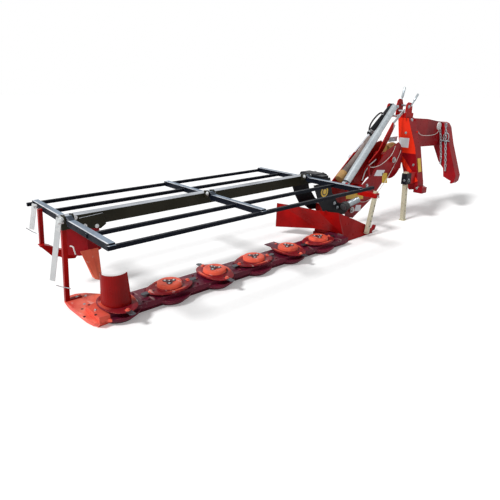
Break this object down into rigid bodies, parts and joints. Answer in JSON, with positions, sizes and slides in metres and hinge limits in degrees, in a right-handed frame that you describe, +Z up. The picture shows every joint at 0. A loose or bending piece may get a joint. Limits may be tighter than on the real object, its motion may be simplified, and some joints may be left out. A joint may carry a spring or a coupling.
{
  "type": "disc mower",
  "caption": "Rear mounted disc mower parked on its shoes and stands, with its red cutter bar, black canopy frame and red headstock.",
  "frame": {"origin": "middle of the whole machine on the ground", "axes": "+X along the cutter bar towards the headstock, -Y in the direction of travel, +Z up"},
  "size_m": [4.7866, 1.2974, 1.4438],
  "materials": {
    "red_paint": "gloss",
    "black_paint": "satin",
    "zinc": "galvanised",
    "cream_zinc": "yellow zinc",
    "tan_plastic": "matt",
    "chrome": "polished",
    "white_plastic": "matt"
  },
  "bodies": {
    "headstock": {"headstock_left_leg": "red_paint", "headstock_right_leg": "red_paint", "headstock_arch": "red_paint", "cylinder_tower": "red_paint", "arm_pivot_bracket": "red_paint", "shaft_bell": "tan_plastic", "stand_socket": "black_paint", "tower_levers": "zinc", "lock_hook": "red_paint", "rope_wheel": "white_plastic", "arch_rope": "white_plastic", "leg_chain": "zinc"},
    "arm": {"relief_lug": "red_paint", "arm_near_plate": "red_paint", "arm_far_plate": "red_paint", "arm_cross_tube": "red_paint", "lift_lug": "red_paint", "drive_shaft": "tan_plastic", "shaft_rest": "red_paint", "inner_socket": "red_paint", "release_rope": "white_plastic", "latch_rope": "white_plastic"},
    "cutting_unit": {"cutter_bar": "red_paint", "outer_shoe": "red_paint", "inner_shoe": "red_paint", "gearbox": "red_paint", "gearbox_stay_near": "black_paint", "gearbox_stay_far": "black_paint", "hanger_near": "black_paint", "hanger_far": "black_paint", "hanger_pin": "zinc", "hanger_tongue": "black_paint", "hanger_hood": "black_paint", "main_beam": "black_paint", "rear_frame": "black_paint", "outer_post": "red_paint", "rear_post": "red_paint", "outer_swath_board": "red_paint", "swath_deflector": "red_paint", "inner_panel": "red_paint", "side_strap_near": "zinc", "side_strap_far": "zinc", "balance_spring": "zinc"},
    "front_guard": {"front_guard": "black_paint"},
    "disc_1": {"disc_1": "red_paint", "disc_1_hood": "red_paint"},
    "lift_barrel": {"lift_barrel": "black_paint", "lift_hose": "black_paint"},
    "lift_rod": {"lift_rod": "chrome"},
    "relief_tube": {"relief_tube": "zinc", "relief_inner": "zinc"},
    "headstock_stand": {"headstock_stand": "cream_zinc"},
    "inner_stand": {"inner_stand": "cream_zinc"},
    "disc_2": {"disc_2": "red_paint"},
    "disc_3": {"disc_3": "red_paint"},
    "disc_4": {"disc_4": "red_paint"},
    "disc_5": {"disc_5": "red_paint"},
    "disc_6": {"disc_6": "red_paint"}
  },
  "joints": [
    {"name": "arm_raise", "type": "hinge", "parent": "headstock", "child": "arm", "pos_m": [1.206, 0.0025, 0.7], "axis": [0, 1, 0], "range_deg": [-8, 60]},
    {"name": "unit_tilt", "type": "hinge", "parent": "arm", "child": "cutting_unit", "pos_m": [0.546, 0.0025, 0.25], "axis": [0, 1, 0], "range_deg": [-18, 30]},
    {"name": "guard_fold", "type": "hinge", "parent": "cutting_unit", "child": "front_guard", "pos_m": [-1.144, -0.0155, 0.648], "axis": [-1, 0, 0], "range_deg": [0, 95]},
    {"name": "disc_1_spin", "type": "hinge", "parent": "cutting_unit", "child": "disc_1", "pos_m": [-2.114, -0.2775, 0.1], "axis": [0, 0, 1], "continuous": true},
    {"name": "disc_2_spin", "type": "hinge", "parent": "cutting_unit", "child": "disc_2", "pos_m": [-1.714, -0.2775, 0.1], "axis": [0, 0, 1], "continuous": true},
    {"name": "disc_3_spin", "type": "hinge", "parent": "cutting_unit", "child": "disc_3", "pos_m": [-1.314, -0.2775, 0.1], "axis": [0, 0, 1], "continuous": true},
    {"name": "disc_4_spin", "type": "hinge", "parent": "cutting_unit", "child": "disc_4", "pos_m": [-0.914, -0.2775, 0.1], "axis": [0, 0, 1], "continuous": true},
    {"name": "disc_5_spin", "type": "hinge", "parent": "cutting_unit", "child": "disc_5", "pos_m": [-0.514, -0.2775, 0.1], "axis": [0, 0, 1], "continuous": true},
    {"name": "disc_6_spin", "type": "hinge", "parent": "cutting_unit", "child": "disc_6", "pos_m": [-0.114, -0.2775, 0.1], "axis": [0, 0, 1], "continuous": true},
    {"name": "lift_swing", "type": "hinge", "parent": "headstock", "child": "lift_barrel", "pos_m": [1.534, 0.1405, 1.24], "axis": [0, 1, 0], "range_deg": [-3, 15.7]},
    {"name": "lift_stroke", "type": "slide", "parent": "lift_barrel", "child": "lift_rod", "axis": [-0.802, 0, -0.5974], "range_m": [-0.317, 0.047]},
    {"name": "relief_swing", "type": "hinge", "parent": "arm", "child": "relief_tube", "pos_m": [0.481, -0.0855, 0.515], "axis": [0, 1, 0], "range_deg": [-37, 5.8]},
    {"name": "headstock_stand_slide", "type": "slide", "parent": "headstock", "child": "headstock_stand", "axis": [-0.0925, 0, 0.9957], "range_m": [0, 0.22]},
    {"name": "inner_stand_slide", "type": "slide", "parent": "arm", "child": "inner_stand", "axis": [0.2252, 0, 0.9743], "range_m": [-0.03, 0.2]}
  ],
  "couplings": [
    {"joint": "disc_2_spin", "follows": "disc_1_spin", "ratio": -1},
    {"joint": "disc_3_spin", "follows": "disc_1_spin", "ratio": 1},
    {"joint": "disc_4_spin", "follows": "disc_1_spin", "ratio": -1},
    {"joint": "disc_5_spin", "follows": "disc_1_spin", "ratio": 1},
    {"joint": "disc_6_spin", "follows": "disc_1_spin", "ratio": -1},
    {"joint": "lift_swing", "follows": "arm_raise", "ratio": 0.2458},
    {"joint": "lift_stroke", "follows": "arm_raise", "m_per_rad": -0.2982},
    {"joint": "relief_swing", "follows": "arm_raise", "ratio": -0.6}
  ]
}
